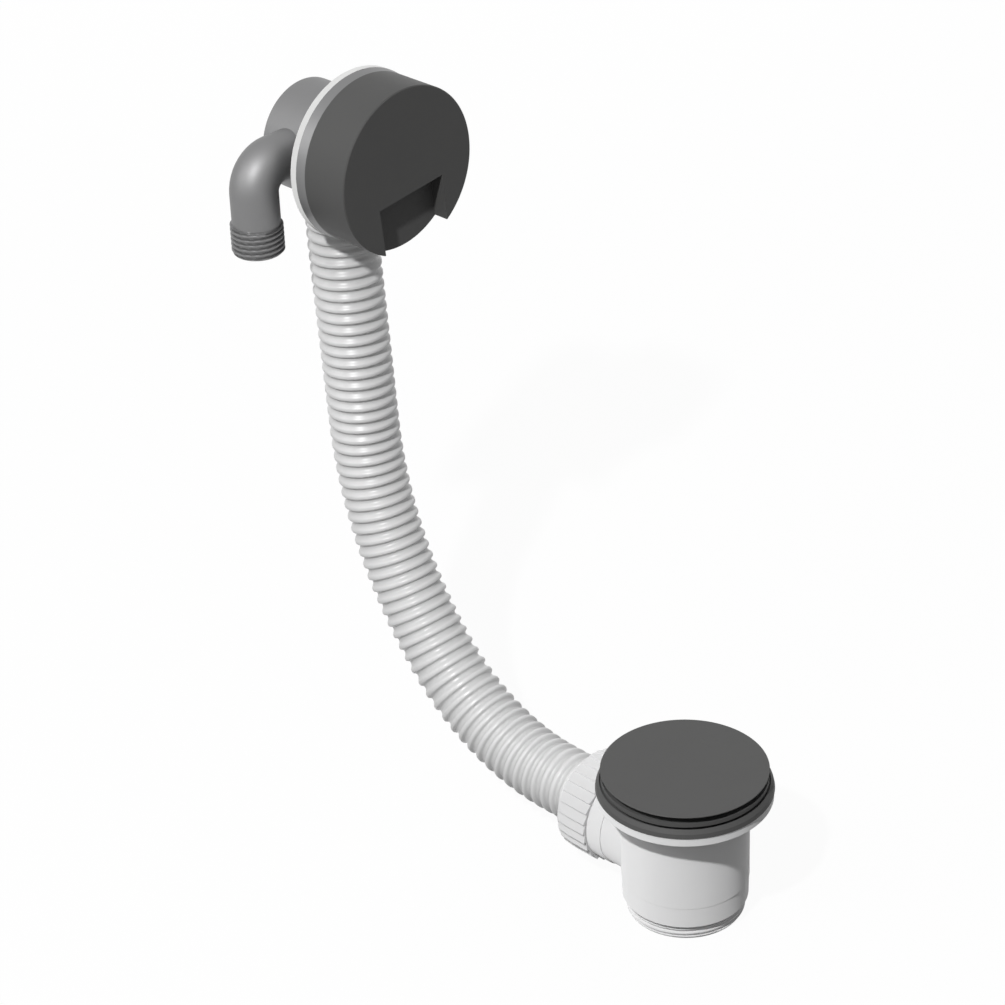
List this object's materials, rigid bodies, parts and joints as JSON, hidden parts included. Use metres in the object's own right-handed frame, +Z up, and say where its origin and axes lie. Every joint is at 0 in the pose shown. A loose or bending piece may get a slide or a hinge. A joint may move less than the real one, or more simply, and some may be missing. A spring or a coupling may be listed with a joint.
{
  "type": "bath waste and overflow filler",
  "caption": "Bath waste with a lifting plug, a corrugated overflow hose to its side branch and a round overflow filler head with an inlet elbow.",
  "frame": {"origin": "on the waste axis, in the seat under the waste flange", "axes": "+Z up along the waste axis, the overflow head at -X with its cap facing +X"},
  "size_m": [0.2349, 0.0852, 0.3142],
  "materials": {
    "dark_metal": "satin dark grey plating",
    "grey_metal": "satin grey",
    "white_plastic": "moulded, semi matte",
    "hose_plastic": "moulded, semi matte",
    "white_gasket": "matte white",
    "black_rubber": "matte black",
    "fibre": "pressed fibre",
    "brass": "turned",
    "steel": "drawn stainless"
  },
  "bodies": {
    "fixed": {"filler_cap": "dark_metal", "waste_flange": "dark_metal", "face_plate": "grey_metal", "rear_body": "grey_metal", "waste_body": "white_plastic", "union_nut": "white_plastic", "overflow_hose": "hose_plastic", "face_gasket": "white_gasket", "flange_seal": "black_rubber", "nose_seal": "black_rubber", "rear_seal": "black_rubber", "cap_ring": "black_rubber", "bolt_washer": "fibre", "hollow_bolt": "brass", "cartridge_barrel": "brass", "cartridge_spring": "steel", "hose_clip": "steel"},
    "plug": {"plug_cap": "dark_metal", "plug_carrier": "dark_metal", "plug_seal": "black_rubber", "plug_spindle": "brass"}
  },
  "joints": [
    {"name": "plug_slide", "type": "slide", "parent": "fixed", "child": "plug", "axis": [0, 0, 1], "range_m": [0, 0.008], "deforming": ["cartridge_spring"]}
  ]
}
